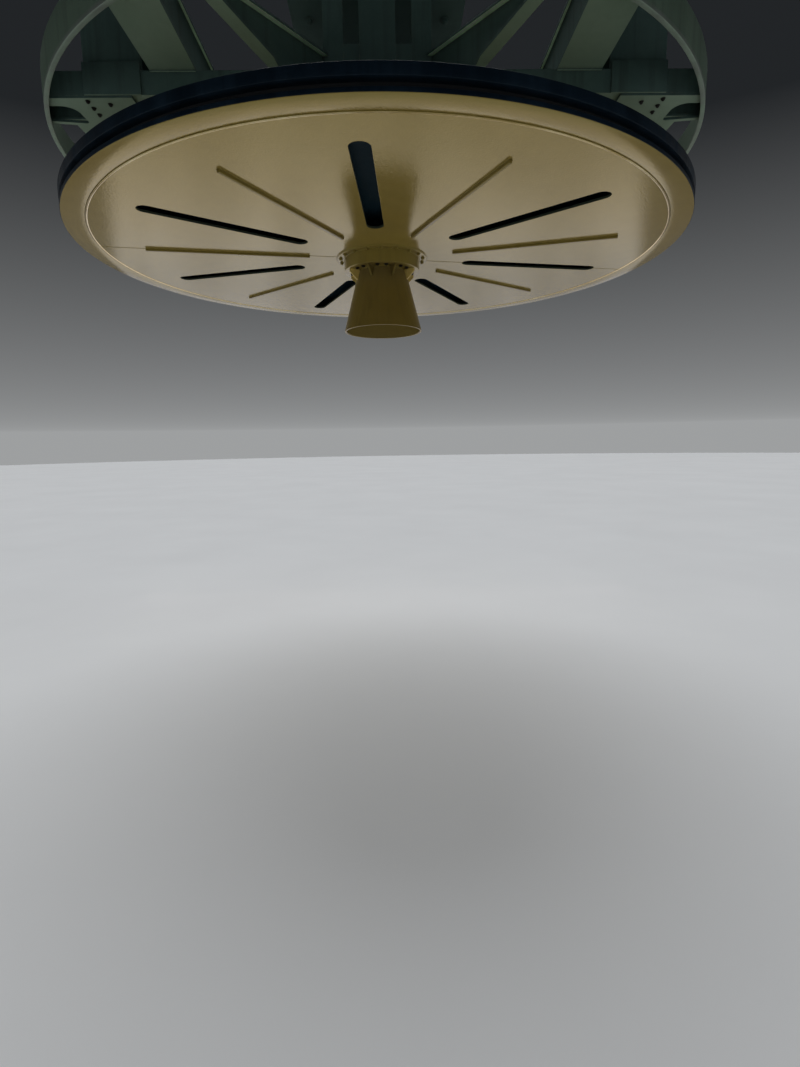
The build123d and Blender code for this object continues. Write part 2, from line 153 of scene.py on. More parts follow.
class StageSettings(PropertyGroup):
    """Floor, lights and camera."""
    floor_height: length_setting("Floor height", "Height of the floor in the frame's own metres", -4.18, -20, 0)
    camera_place: FloatVectorProperty(
        name="Camera place", description="Where the photograph was taken from", subtype="TRANSLATION",
        unit="LENGTH", size=3, default=(0.0128, -3.968, -2.462))
    camera_pitch: number_setting("Camera pitch", "How far the camera looks down", radians(9.2907), subtype="ANGLE")
    camera_turn: number_setting(
        "Camera turn", "Turn of the camera round the wheel's axis direction", radians(-1.1), subtype="ANGLE")
    camera_roll: number_setting("Camera roll", "Lean of the camera", radians(-0.9238), subtype="ANGLE")
    lens: number_setting("Lens", "Focal length for a 36 mm long side", 19.334, unit="CAMERA")
    key_power: number_setting("Sky light", "Strength of the soft light from above and behind the wheel", 1.5)
    floor_glow: number_setting("Floor glow", "Light that the pale floor gives off upwards", 0.12)
    sheen: number_setting("Sheen", "Strength of the pale sheet that only the gloss mirrors", 0.82)


def wheel_finish():
    return bpy.context.scene.return_wheel_finish


def frame_finish():
    return bpy.context.scene.hanging_frame_finish


# ---- Node helpers

def output_of(value):
    """The first output in use of a node. Anything else comes back as it is."""
    if isinstance(value, bpy.types.Node):
        return next(socket for socket in value.outputs if socket.enabled)
    return value


def feed(tree, socket, value):
    """Sets an input to a value, or links it to the node or socket that feeds it."""
    value = output_of(value)
    if isinstance(value, bpy.types.NodeSocket):
        tree.links.new(value, socket)
    else:
        socket.default_value = value


def put(tree, kind, inputs=None, **settings):
    """Adds a node. Each input is a value, or the node or socket that feeds it."""
    node = tree.nodes.new(kind)
    for name, value in settings.items():
        setattr(node, name, value)
    for key, value in (inputs or {}).items():
        feed(tree, node.inputs[key], value)
    return node


def math(tree, operation, first, second=0.0, third=0.0, clamp=False):
    return put(tree, "ShaderNodeMath", {0: first, 1: second, 2: third}, operation=operation, use_clamp=clamp)


def times(tree, first, second, clamp=False):
    return math(tree, "MULTIPLY", first, second, clamp=clamp)


def plus(tree, first, second, clamp=False):
    return math(tree, "ADD", first, second, clamp=clamp)


def ramp(tree, value, low, high, to_low=0.0, to_high=1.0):
    """Maps a value from one range to another and keeps it inside."""
    return put(tree, "ShaderNodeMapRange",
               {"Value": value, "From Min": low, "From Max": high, "To Min": to_low, "To Max": to_high},
               clamp=True)


def vector(tree, operation, inputs):
    return put(tree, "ShaderNodeVectorMath", inputs, operation=operation)


def xyz(tree, x=0.0, y=0.0, z=0.0):
    return put(tree, "ShaderNodeCombineXYZ", {"X": x, "Y": y, "Z": z})


def axes(tree, value):
    """The X, Y and Z of a vector."""
    return put(tree, "ShaderNodeSeparateXYZ", {0: value}).outputs


def object_place(tree):
    return put(tree, "ShaderNodeTexCoord").outputs["Object"]


def face_axes(tree, normal="Normal"):
    """The X, Y and Z of the way that a face looks."""
    return axes(tree, put(tree, "ShaderNodeNewGeometry").outputs[normal])


def noise(tree, where, scale, detail=3.0, rough=0.5):
    return put(tree, "ShaderNodeTexNoise",
               {"Vector": where, "Scale": scale, "Detail": detail, "Roughness": rough}).outputs[0]


def colour(value, shade=1.0):
    return (value[0] * shade, value[1] * shade, value[2] * shade, 1.0)


def blend(tree, share, first, second):
    """Mixes two colours. The result is the third output."""
    return put(tree, "ShaderNodeMix", {0: share, 6: first, 7: second}, data_type="RGBA").outputs[2]


def cover(tree, tone, *layers):
    """Lays colours over a tone. Each layer is a mask and its colour."""
    for mask, over in layers:
        tone = blend(tree, mask, tone, colour(over))
    return tone


def roughen(tree, rough, *shares):
    """Adds to a roughness. Each share is a mask and how much it adds, and the last sum is clamped."""
    for number, (mask, share) in enumerate(shares, 1):
        rough = plus(tree, rough, times(tree, mask, share), clamp=number == len(shares))
    return rough


def group(name, inputs, outputs, kind="ShaderNodeTree"):
    """Starts a node group and returns it with its inputs' sockets and its output node."""
    tree = bpy.data.node_groups.new(name, kind)
    for label, socket_kind, value in inputs:
        socket = tree.interface.new_socket(label, in_out="INPUT", socket_type=socket_kind)
        if value is not None:
            socket.default_value = value
    for label, socket_kind in outputs:
        tree.interface.new_socket(label, in_out="OUTPUT", socket_type=socket_kind)
    given, result = tree.nodes.new("NodeGroupInput"), tree.nodes.new("NodeGroupOutput")
    return tree, given.outputs, result


def finish_group(tree, result, **sockets):
    for name, value in sockets.items():
        tree.links.new(output_of(value), result.inputs[name])
    return tree


def finish_mask(tree, given, result, first, second, **sockets):
    """Ends a group whose mask is two shares and its amount, multiplied."""
    mask = times(tree, times(tree, first, second), given["Amount"], clamp=True)
    return finish_group(tree, result, Mask=mask, **sockets)


FLOAT, VECTOR, RGBA = "NodeSocketFloat", "NodeSocketVector", "NodeSocketColor"


def built_once(build):
    """Keeps a node group by its maker's name, so that each is built once."""
    def get():
        name = build.__doc__.split(".")[0]
        return bpy.data.node_groups.get(name) or build(name)
    get.__doc__ = build.__doc__
    return get


@built_once
def paint_film(name):
    """Paint Film. Colour that fades in patches, and the fine texture of sprayed paint."""
    tree, given, result = group(
        name,
        [("Colour", RGBA, None), ("Faded", RGBA, None), ("Patch Scale", FLOAT, 1.5), ("Film Scale", FLOAT, 140.0)],
        [("Colour", RGBA), ("Roughness", FLOAT), ("Height", FLOAT)])
    where = object_place(tree)
    share = ramp(tree, noise(tree, where, given["Patch Scale"], 5.0, 0.6), 0.36, 0.66)
    tone = noise(tree, where, times(tree, given["Patch Scale"], 9.0), 3.0, 0.55)
    faded = blend(tree, share, given["Colour"], given["Faded"])
    film = vector(tree, "SCALE", {0: faded, "Scale": ramp(tree, tone, 0.3, 0.7, 0.97, 1.03)})
    peel = noise(tree, where, given["Film Scale"], 2.0, 0.5)
    rough = ramp(tree, tone, 0.3, 0.7, -0.03, 0.04)
    return finish_group(tree, result, Colour=film, Roughness=rough, Height=peel)


@built_once
def edge_wear(name):
    """Edge Wear. Where edges are rubbed, with the rounded edge's normal."""
    tree, given, result = group(
        name, [("Width", FLOAT, 0.004), ("Breakup Scale", FLOAT, 35.0), ("Amount", FLOAT, 0.5)],
        [("Mask", FLOAT), ("Normal", VECTOR)])
    rounded = put(tree, "ShaderNodeBevel", {"Radius": given["Width"]}, samples=4)
    face = put(tree, "ShaderNodeNewGeometry").outputs["Normal"]
    near = ramp(tree, vector(tree, "DOT_PRODUCT", {0: rounded, 1: face}).outputs["Value"], 0.995, 0.90)
    broken = ramp(tree, noise(tree, object_place(tree), given["Breakup Scale"], 4.0, 0.65), 0.45, 0.60)
    return finish_mask(tree, given, result, near, broken, Normal=rounded)


@built_once
def occlusion_grime_and_shade(name):
    """Corner Grime. Dirt that gathers where pieces meet."""
    tree, given, result = group(
        name, [("Reach", FLOAT, 0.06), ("Scale", FLOAT, 12.0), ("Amount", FLOAT, 0.7)], [("Mask", FLOAT)])
    open_share = put(tree, "ShaderNodeAmbientOcclusion", {"Distance": given["Reach"]}, samples=6).outputs["AO"]
    closed = ramp(tree, open_share, 0.92, 0.35)
    broken = ramp(tree, noise(tree, object_place(tree), given["Scale"], 5.0, 0.6), 0.25, 0.65, 0.35, 1.0)
    return finish_mask(tree, given, result, closed, broken)


@built_once
def settled_dust(name):
    """Settled Dust. Dust on faces that look up."""
    tree, given, result = group(name, [("Scale", FLOAT, 6.0), ("Amount", FLOAT, 0.8)], [("Mask", FLOAT)])
    up = ramp(tree, face_axes(tree)["Z"], 0.25, 0.9)
    broken = ramp(tree, noise(tree, object_place(tree), given["Scale"], 6.0, 0.6), 0.3, 0.65, 0.45, 1.0)
    return finish_mask(tree, given, result, up, broken)


@built_once
def run_marks(name):
    """Run Marks. Thin upright streaks on faces that stand up."""
    tree, given, result = group(
        name, [("Spacing", FLOAT, 16.0), ("Length", FLOAT, 0.9), ("Amount", FLOAT, 0.5)], [("Mask", FLOAT)])
    place = axes(tree, object_place(tree))
    stretched = xyz(tree, times(tree, place["X"], given["Spacing"]), times(tree, place["Y"], given["Spacing"]),
                    times(tree, place["Z"], given["Length"]))
    runs = ramp(tree, noise(tree, stretched, 1.0, 4.0, 0.6), 0.50, 0.72)
    upright = ramp(tree, math(tree, "ABSOLUTE", face_axes(tree)["Z"]), 0.6, 0.2)
    return finish_mask(tree, given, result, runs, upright)


@built_once
def round_place(name):
    """Round Place. Distance from the wheel's axis, and a place that follows it and the turn round the axis."""
    tree, given, result = group(name, [("Turn Scale", FLOAT, 1.0)], [("Radius", FLOAT), ("Ring", VECTOR)])
    place = axes(tree, object_place(tree))
    flat = xyz(tree, place["X"], place["Y"])
    radius = vector(tree, "LENGTH", {0: flat}).outputs["Value"]
    spread = vector(tree, "SCALE", {0: vector(tree, "NORMALIZE", {0: flat}), "Scale": given["Turn Scale"]})
    ring = vector(tree, "ADD", {0: spread, 1: xyz(tree, z=radius)})
    return finish_group(tree, result, Radius=radius, Ring=ring)


def use(tree, get_group, *values):
    """Places a node group with this material's own values, in the order of the group's inputs."""
    node = tree.nodes.new("ShaderNodeGroup")
    node.node_tree = get_group()
    for socket, value in zip(node.inputs, values):
        socket.default_value = value
    return node.outputs


def weather(tree, *rows):
    """Places edge wear, corner grime, settled dust and run marks, as far as there are rows of values for them.

    Returns the rounded edges' normal and then the masks."""
    groups = (edge_wear, occlusion_grime_and_shade, settled_dust, run_marks)
    placed = [use(tree, get_group, *values) for get_group, values in zip(groups, rows)]
    return placed[0]["Normal"], *(outputs["Mask"] for outputs in placed)


def start_material(name):
    material = bpy.data.materials.new(name)
    material.use_nodes = True
    return material, material.node_tree


def shader_of(tree):
    return tree.nodes["Principled BSDF"]


def end_material(material, base, rough, normal, height=None, bump=0.0, metallic=None, specular=None):
    """Feeds the shader. Height goes through a Bump node over the given normal."""
    tree = material.node_tree
    if height is not None:
        normal = put(tree, "ShaderNodeBump", {"Height": height, "Normal": normal, "Distance": bump})
    for key, value in (("Base Color", base), ("Roughness", rough), ("Normal", normal), ("Metallic", metallic),
                       ("Specular IOR Level", specular)):
        if value is not None:
            feed(tree, shader_of(tree).inputs[key], value)
    return material


# ---- Materials

def enamel_material(name="wheel_enamel", shade=1.0, grime=0.5, rough=0.11, worn=0.35, specular=1.0, shaded_cuts=False,
                    pale=0.0):
    """Ochre enamel with chalky patches, oil flung out from the hub and dirt in corners.

    Cuts gives the slots dark walls. Pale, if given, is how much brighter the enamel is behind y -0.10."""
    finish = wheel_finish()
    material, tree = start_material(name)
    film = use(tree, paint_film, colour(finish.enamel, shade), colour(finish.enamel_faded, shade), 1.1, 95.0)
    normal, wear, grime_and_shade, dust, streaks = weather(
        tree, (0.003, 28.0, worn), (0.008, 9.0, grime), (5.0, 0.85), (22.0, 1.4, 0.30))
    place = use(tree, round_place, 9.0)
    oil = ramp(tree, noise(tree, place["Ring"], 1.0, 4.0, 0.55), 0.42, 0.70)
    oil = times(tree, oil, ramp(tree, place["Radius"], 0.95, 0.25))
    tone = cover(tree, film["Colour"], (times(tree, oil, 0.12), (0.16, 0.105, 0.03)))
    # Brighter enamel behind y -0.10 is a painted reflection of the sheen.
    if pale:
        behind = ramp(tree, axes(tree, object_place(tree))["Y"], -0.14, -0.10)
        tone = blend(tree, behind, tone, colour(finish.enamel_faded, pale))
    # The grime colour follows ambient occlusion, so it is partly painted shade.
    tone = cover(tree, tone, (streaks, (0.12, 0.085, 0.035)), (grime_and_shade, (0.055, 0.040, 0.018)),
                 (wear, (0.42, 0.34, 0.16)), (dust, (0.21, 0.19, 0.155)))
    rough_sum = roughen(tree, plus(tree, film["Roughness"], rough), (dust, 0.45), (grime_and_shade, 0.25))
    # Slot walls get a dark colour: painted shade in the slots.
    if shaded_cuts:
        upright = ramp(tree, math(tree, "ABSOLUTE", face_axes(tree, "True Normal")["Z"]), 0.3, 0.1)
        shaded_wall = times(tree, upright, ramp(tree, place["Radius"], 1.62, 1.58))
        tone = blend(tree, shaded_wall, tone, colour(finish.inside, 0.6))
        rough_sum = math(tree, "MAXIMUM", rough_sum, shaded_wall)
    feed(tree, shader_of(tree).inputs["Specular Tint"], (1.0, 0.88, 0.12, 1.0))
    return end_material(material, tone, rough_sum, normal, film["Height"], 0.0006, specular=specular)


def dark_material(name, base, worn, rough, wear_share=0.4, dust_amount=0.7, edge=0.003):
    """Dark greasy paint with dull smears and rubbed edges."""
    material, tree = start_material(name)
    film = use(tree, paint_film, colour(base), colour(worn), 3.2, 120.0)
    normal, wear, grime_and_shade, dust = weather(tree, (edge, 40.0, wear_share), (0.04, 14.0, 0.6), (8.0, dust_amount))
    smear = ramp(tree, noise(tree, use(tree, round_place, 26.0)["Ring"], 1.0, 5.0, 0.6), 0.45, 0.7)
    # The grime colour follows ambient occlusion, so it is partly painted shade.
    tone = cover(tree, film["Colour"], (times(tree, smear, 0.5), [c * 1.9 + 0.004 for c in worn]),
                 (grime_and_shade, (0.010, 0.011, 0.012)), (wear, (0.16, 0.155, 0.15)), (dust, (0.115, 0.11, 0.10)))
    rough_sum = roughen(tree, plus(tree, film["Roughness"], rough), (smear, 0.18), (dust, 0.4))
    return end_material(material, tone, rough_sum, normal, film["Height"], 0.0005, specular=0.15)


def lining_material():
    """Rubber with a polished band in the middle of the groove."""
    material, tree = start_material("groove_rubber")
    film = use(tree, paint_film, colour(wheel_finish().lining), colour((0.016, 0.017, 0.019)), 6.0, 260.0)
    normal = weather(tree, (0.003, 60.0, 0.5))[0]
    away = math(tree, "SUBTRACT", axes(tree, object_place(tree))["Z"], GROOVE_MIDDLE)
    polished = ramp(tree, math(tree, "ABSOLUTE", away), 0.010, 0.004)
    lay = ramp(tree, noise(tree, use(tree, round_place, 300.0)["Ring"], 1.0, 2.0, 0.5), 0.4, 0.6)
    band = times(tree, polished, ramp(tree, lay, 0.0, 1.0, 0.55, 1.0))
    tone = cover(tree, film["Colour"], (times(tree, band, 0.6), (0.014, 0.018, 0.023)))
    rough_sum = ramp(tree, band, 0.0, 1.0, 0.62, 0.40)
    return end_material(material, tone, rough_sum, normal, film["Height"], 0.0008, specular=0.2)


def lip_highlight_material():
    """Rubbed, glossy paint of the raised bead round the disc's edge."""
    material, tree = start_material("lip_highlight_paint")
    # Pale cream patches: a painted highlight along the lip.
    film = use(tree, paint_film, colour((0.55, 0.42, 0.17)), colour((0.95, 0.82, 0.50)), 2.2, 140.0)
    normal = weather(tree, (0.001, 40.0, 0.2))[0]
    rough_sum = plus(tree, film["Roughness"], 0.10, clamp=True)
    return end_material(material, film["Colour"], rough_sum, normal, film["Height"], 0.0002, 0.8)


def top_material():
    """Upper disc, dark below and dusty yellow above."""
    finish = wheel_finish()
    material, tree = start_material("upper_disc_paint")
    film = use(tree, paint_film, colour(finish.enamel), colour(finish.enamel_faded), 1.4, 95.0)
    normal, wear, grime_and_shade, dust = weather(tree, (0.003, 30.0, 0.5), (0.06, 8.0, 0.8), (3.5, 0.75))
    place = use(tree, round_place, 6.0)
    spill = times(tree, ramp(tree, noise(tree, place["Ring"], 1.4, 5.0, 0.6), 0.40, 0.62),
                  ramp(tree, place["Radius"], 1.5, 0.35, 0.15, 1.0))
    # Faces that look down get the dark colour of painted shade. The grime colour follows ambient occlusion, so it is
    # partly painted shade.
    below = ramp(tree, face_axes(tree)["Z"], 0.1, -0.5)
    tone = cover(tree, film["Colour"], (dust, (0.32, 0.29, 0.22)), (times(tree, spill, 0.55), (0.060, 0.047, 0.026)),
                 (grime_and_shade, (0.040, 0.033, 0.022)), (wear, (0.48, 0.42, 0.28)), (below, finish.inside))
    rough_sum = plus(tree, film["Roughness"], ramp(tree, spill, 0.0, 1.0, 0.62, 0.30))
    return end_material(material, tone, rough_sum, normal, film["Height"], 0.0006, specular=0.1)


def frame_material(name="frame_green", shade=1.0, worn_band=None, shade_tint=(0.84, 1.0, 1.22)):
    """Pale green paint with chalky patches, dust, run marks and rust at worn edges.

    Only faces that look down are free of soot and of the cool cast. The worn band of heights is rubbed bare."""
    finish = frame_finish()
    material, tree = start_material(name)
    film = use(tree, paint_film, colour(finish.paint, shade), colour(finish.paint_faded, shade), 2.4, 130.0)
    where = object_place(tree)
    height = axes(tree, where)["Z"]
    # Painted light and shade: faces that look down are painted brighter, as light from below, and all other faces
    # darker and bluish, as shade.
    under = times(tree, ramp(tree, face_axes(tree)["Z"], -0.3, -0.8), ramp(tree, height, -0.10, -0.25))
    underside_light_by_height = ramp(tree, height, DECK + 0.015, DECK + 0.06, 1.62 - finish.upright_shade, 5.2 - finish.upright_shade)
    painted_light_share = math(tree, "MULTIPLY_ADD", under, underside_light_by_height, finish.upright_shade)
    shade_tint_mix = blend(tree, under, colour(shade_tint), colour((1.0, 1.0, 1.0)))
    paint = vector(tree, "SCALE", {0: vector(tree, "MULTIPLY", {0: film["Colour"], 1: shade_tint_mix}), "Scale": painted_light_share})
    normal, wear, grime_and_shade, dust, streaks = weather(
        tree, (0.004, 30.0, 0.6), (0.03, 10.0, 0.55), (4.0, 0.85), (18.0, 1.1, 0.40))
    rust = ramp(tree, noise(tree, where, 55.0, 5.0, 0.7), 0.66, 0.78)
    tone = cover(tree, paint, (streaks, (0.050, 0.062, 0.048)), (grime_and_shade, (0.030, 0.034, 0.026)),
                 (wear, (0.24, 0.29, 0.22)), (times(tree, rust, 0.35), (0.10, 0.055, 0.028)),
                 (dust, (0.25, 0.265, 0.23)))
    rough_sum = roughen(tree, plus(tree, film["Roughness"], 0.6), (dust, 0.35), (grime_and_shade, 0.2))
    metallic = None
    if worn_band:
        low, high = worn_band
        scuffed = noise(tree, use(tree, round_place, 14.0)["Ring"], 1.0, 5.0, 0.65)
        bare = times(tree, ramp(tree, height, high, low), ramp(tree, scuffed, 0.35, 0.75, 0.25, 1.0))
        tone = cover(tree, tone, (times(tree, bare, 0.8), finish.rail_steel))
        rough_sum = math(tree, "SUBTRACT", rough_sum, times(tree, bare, 0.15), clamp=True)
        metallic = times(tree, bare, 0.7)
    return end_material(material, tone, rough_sum, normal, film["Height"], 0.0006, metallic, 0.05)


def steel_material(name, tone, oil_tone, rough=0.34, bare=0.9):
    """Machined steel with turning marks and a film of old oil. Bare is how metallic it still looks."""
    material, tree = start_material(name)
    normal, wear, grime_and_shade, dust = weather(tree, (0.002, 60.0, 0.7), (0.03, 20.0, 0.9), (9.0, 0.5))
    where = object_place(tree)
    marks = noise(tree, xyz(tree, times(tree, use(tree, round_place, 1.0)["Radius"], TURNING_MARKS),
                            times(tree, axes(tree, where)["Z"], TURNING_MARKS)), 1.0, 2.0, 0.6)
    patches = ramp(tree, noise(tree, where, 7.0, 5.0, 0.6), 0.38, 0.62)
    # The grime colour follows ambient occlusion, so it is partly painted shade.
    base = cover(tree, blend(tree, patches, colour(tone), colour(oil_tone)), (grime_and_shade, (0.02, 0.017, 0.013)),
                 (wear, [bare * 0.55] * 3), (dust, (0.10, 0.095, 0.085)))
    rough_sum = roughen(tree, ramp(tree, patches, 0.0, 1.0, rough, rough + 0.2), (dust, 0.3))
    metallic = ramp(tree, math(tree, "MAXIMUM", dust, grime_and_shade), 0.0, 0.6, bare, bare * 0.1)
    return end_material(material, base, rough_sum, normal, marks, 0.0003, metallic, 0.5 * bare)


def sheen_material(strength):
    """Glow of the sheet that the gloss mirrors, brightest halfway up and fading at its ends."""
    material, tree = start_material("sheen_glow")
    tree.nodes.clear()
    place = axes(tree, object_place(tree))
    low = times(tree, ramp(tree, place["Z"], -1.85, -2.30, 0.72, 1.12), ramp(tree, place["Z"], -2.5, -3.3, 1.0, 0.75))
    inside = ramp(tree, math(tree, "ABSOLUTE", plus(tree, place["X"], 0.03)), 2.88, 2.76, 0.26, 1.0)
    across = xyz(tree, times(tree, place["X"], 1.3), z=times(tree, place["Z"], 0.9))
    uneven = ramp(tree, noise(tree, across, 1.0, 3.0, 0.5), 0.38, 0.60, 0.80, 1.06)
    uneven = times(tree, uneven, ramp(tree, place["X"], -2.6, 2.6, 1.10, 0.93))
    glow = times(tree, times(tree, low, inside), times(tree, uneven, strength))
    tone = blend(tree, ramp(tree, place["Z"], -2.6, -1.9), colour((1.0, 0.89, 0.85)), colour((0.98, 0.97, 1.08)))
    light = put(tree, "ShaderNodeEmission", {"Color": tone, "Strength": glow})
    put(tree, "ShaderNodeOutputMaterial", {"Surface": light})
    return material


def dress(material, *names):
    """Puts a material on CAD nodes."""
    for name in names:
        node = NODES[name]
        if not node.material_slots:
            node.data.materials.append(material)
        for slot in node.material_slots:
            slot.material = material


# ---- Geometry trees

def start_tree(name, sizes):
    geometry = ("Geometry", "NodeSocketGeometry")
    return group(name, [(*geometry, None), *sizes, ("Material", "NodeSocketMaterial", None)], [geometry],
                 kind="GeometryNodeTree")


def end_tree(tree, given, result, mesh):
    """Ends a tree with Realize Instances and Set Material."""
    real = put(tree, "GeometryNodeRealizeInstances", {0: mesh})
    painted = put(tree, "GeometryNodeSetMaterial", {"Geometry": real, "Material": given["Material"]})
    return finish_group(tree, result, Geometry=painted)


def attribute(tree, name, kind="FLOAT"):
    return put(tree, "GeometryNodeInputNamedAttribute", {"Name": name}, data_type=kind)


@built_once
def turned_section(name):
    """Turned Section. Sweeps the section's outline round the wheel's axis."""
    tree, given, result = start_tree(name, [
        ("Path Radius", FLOAT, 1.0), ("Start", FLOAT, 0.0), ("Sweep", FLOAT, 2 * pi),
        ("Full Turn", "NodeSocketBool", True), ("Segments", "NodeSocketInt", 360), ("Edge Round", FLOAT, 0.002)])
    outline = put(tree, "GeometryNodeMeshToCurve", {"Mesh": given["Geometry"]})
    radius = times(tree, attribute(tree, "round"), given["Edge Round"])
    rounded = put(tree, "GeometryNodeFilletCurve",
                  {"Curve": outline, "Radius": radius, "Limit Radius": True, "Count": 3}, mode="POLY")
    sizes = {"Resolution": given["Segments"], "Radius": given["Path Radius"]}
    ring = put(tree, "GeometryNodeCurvePrimitiveCircle", sizes)
    arc = put(tree, "GeometryNodeCurveArc",
              {**sizes, "Start Angle": given["Start"], "Sweep Angle": given["Sweep"]})
    path = put(tree, "GeometryNodeSwitch", {"Switch": given["Full Turn"], "False": arc, "True": ring},
               input_type="GEOMETRY")
    upright = put(tree, "GeometryNodeSetCurveNormal", {"Curve": path}, mode="Z_UP")
    swept = put(tree, "GeometryNodeCurveToMesh", {"Curve": upright, "Profile Curve": rounded, "Fill Caps": True})
    return end_tree(tree, given, result, swept)


@built_once
def bolted_joint(name):
    """Bolted Joint. A washer, a hexagon nut with its crown and a bolt's end on each point."""
    tree, given, result = start_tree(name, [
        ("Nut Height", FLOAT, 0.85), ("Washer", FLOAT, 1.35), ("Thread Stands", FLOAT, 0.35),
        ("Seed", "NodeSocketInt", 7)])
    washer_thick, nut = 0.16, given["Nut Height"]
    top = plus(tree, nut, washer_thick)
    joined = put(tree, "GeometryNodeJoinGeometry")
    for kind, sizes, middle in (
            ("Cylinder", {"Vertices": 16, "Radius": given["Washer"], "Depth": washer_thick}, washer_thick / 2),
            ("Cylinder", {"Vertices": 6, "Radius": 1.0, "Depth": nut},
             math(tree, "MULTIPLY_ADD", nut, 0.5, washer_thick)),
            ("Cone", {"Vertices": 12, "Radius Top": 0.74, "Radius Bottom": 0.95, "Depth": 0.10}, top),
            ("Cone", {"Vertices": 10, "Radius Top": 0.44, "Radius Bottom": 0.55,
                      "Depth": plus(tree, given["Thread Stands"], 0.1)}, top)):
        piece = put(tree, "GeometryNodeMesh" + kind, sizes)
        piece = put(tree, "GeometryNodeTransform", {"Geometry": piece, "Translation": xyz(tree, z=middle)})
        tree.links.new(piece.outputs[0], joined.inputs[0])
    across = attribute(tree, "across")
    aligned = put(tree, "FunctionNodeAlignRotationToVector",
                  {"Vector": attribute(tree, "facing", "FLOAT_VECTOR")}, axis="Z")
    chance = put(tree, "FunctionNodeRandomValue", {"Seed": given["Seed"]}, data_type="FLOAT")
    spin = put(tree, "FunctionNodeAxisAngleToRotation", {"Angle": times(tree, chance, pi)})
    turned = put(tree, "FunctionNodeRotateRotation", {"Rotation": aligned, "Rotate By": spin},
                 rotation_space="LOCAL")
    fitted = put(tree, "GeometryNodeInstanceOnPoints", {
        "Points": given["Geometry"], "Instance": joined, "Rotation": turned,
        "Scale": xyz(tree, across, across, across)})
    return end_tree(tree, given, result, fitted)


@built_once
def weld_bead(name):
    """Weld Bead. A rippled bead along each edge of the mesh."""
    tree, given, result = start_tree(name, [
        ("Step", FLOAT, 0.012), ("Flatness", FLOAT, 1.0), ("Unevenness", FLOAT, 0.25), ("Ripple", FLOAT, 0.12)])
    seams = put(tree, "GeometryNodeMeshToCurve", {"Mesh": given["Geometry"]})
    even = put(tree, "GeometryNodeResampleCurve", {"Curve": seams, "Length": given["Step"]}, mode="LENGTH")
    upright = put(tree, "GeometryNodeSetCurveNormal", {"Curve": even}, mode="Z_UP")
    section = put(tree, "GeometryNodeTransform", {
        "Geometry": put(tree, "GeometryNodeCurvePrimitiveCircle", {"Resolution": 8, "Radius": 1.0}),
        "Scale": xyz(tree, 1.0, given["Flatness"], 1.0)})
    uneven = noise(tree, put(tree, "GeometryNodeInputPosition"), 26.0, 2.0, 0.5)
    step_count = put(tree, "GeometryNodeSplineParameter").outputs["Index"]
    ripple = math(tree, "SUBTRACT", math(tree, "PINGPONG", step_count, 1.0), 0.5)
    share = times(tree, math(tree, "SUBTRACT", uneven, 0.5), times(tree, given["Unevenness"], 2.0))
    size = plus(tree, plus(tree, 1.0, share), times(tree, ripple, given["Ripple"]))
    swept = put(tree, "GeometryNodeCurveToMesh", {
        "Curve": upright, "Profile Curve": section, "Scale": times(tree, attribute(tree, "bead"), size),
        "Fill Caps": True})
    return end_tree(tree, given, result, swept)


# ---- Piece helpers

def add_object(name, data):
    thing = bpy.data.objects.new(name, data)
    bpy.context.scene.collection.objects.link(thing)
    return thing


def make_mesh(name, points, edges=(), faces=(), **fields):
    """Makes an object from points, edges and faces. Each field keeps a number or a vector for each point."""
    mesh = bpy.data.meshes.new(name)
    mesh.from_pydata(points, edges, faces)
    for label, values in fields.items():
        kind, key = ("FLOAT_VECTOR", "vector") if isinstance(values[0], tuple) else ("FLOAT", "value")
        layer = mesh.attributes.new(label, kind, "POINT")
        for item, value in zip(layer.data, values):
            setattr(item, key, value)
    return add_object(name, mesh)


def volume(mesh):
    """Six times the volume that the faces close in, below nought where they point inwards."""
    mesh.calc_loop_triangles()
    rows = ([mesh.vertices[i].co for i in triangle.vertices] for triangle in mesh.loop_triangles)
    return sum(a.dot(b.cross(c)) for a, b, c in rows)


def finish_piece(thing, body, sharp):
    """Shades a piece smooth up to the sharp angle, in degrees, and gives it its body and its slot."""
    thing.data.shade_smooth()
    thing.data.set_sharp_from_angle(angle=radians(sharp))
    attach(thing, body)
    return thing


def grow(thing, get_tree, material, values, body, sharp):
    """Runs a geometry tree on an object and keeps the result as its plain mesh."""
    tree = get_tree()
    modifier = thing.modifiers.new("Grow", "NODES")
    modifier.node_group = tree
    sockets = {item.name: item.identifier for item in tree.interface.items_tree if item.in_out == "INPUT"}
    for name, value in {"Material": material, **values}.items():
        modifier[sockets[name]] = value
    seen = thing.evaluated_get(bpy.context.evaluated_depsgraph_get())
    mesh = bpy.data.meshes.new_from_object(seen)
    thing.modifiers.clear()
    old, thing.data = thing.data, mesh
    bpy.data.meshes.remove(old)
    mesh.name = thing.name
    if volume(mesh) < 0:
        mesh.flip_normals()
    return finish_piece(thing, body, sharp)


def turn(name, outline, material, body, node=None, start=0.0, sweep=None, segments=None, edge=None):
    """Turns an outline of radius, height and rounding rows round the wheel's axis."""
    finish = wheel_finish()
    radii, heights, rounding = zip(*outline)
    path_r = sum(radii) / len(radii)
    points = [(r - path_r, -z, 0) for r, z in zip(radii, heights)]
    edges = [(k, (k + 1) % len(points)) for k in range(len(points))]
    values = {"Path Radius": path_r, "Full Turn": sweep is None, "Start": start, "Sweep": sweep or 2 * pi,
              "Segments": segments or finish.turn_segments, "Edge Round": edge or finish.edge_round}
    section = make_mesh(name, points, edges, round=rounding)
    grow(section, turned_section, material, values, body, 20)
    if node:
        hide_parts(node)


def block(inner, outer, low, high, *rounding):
    """Outline of a rectangular section, with a rounding for each corner from the lower inner one on."""
    return list(zip((inner, outer, outer, inner), (low, low, high, high), rounding))


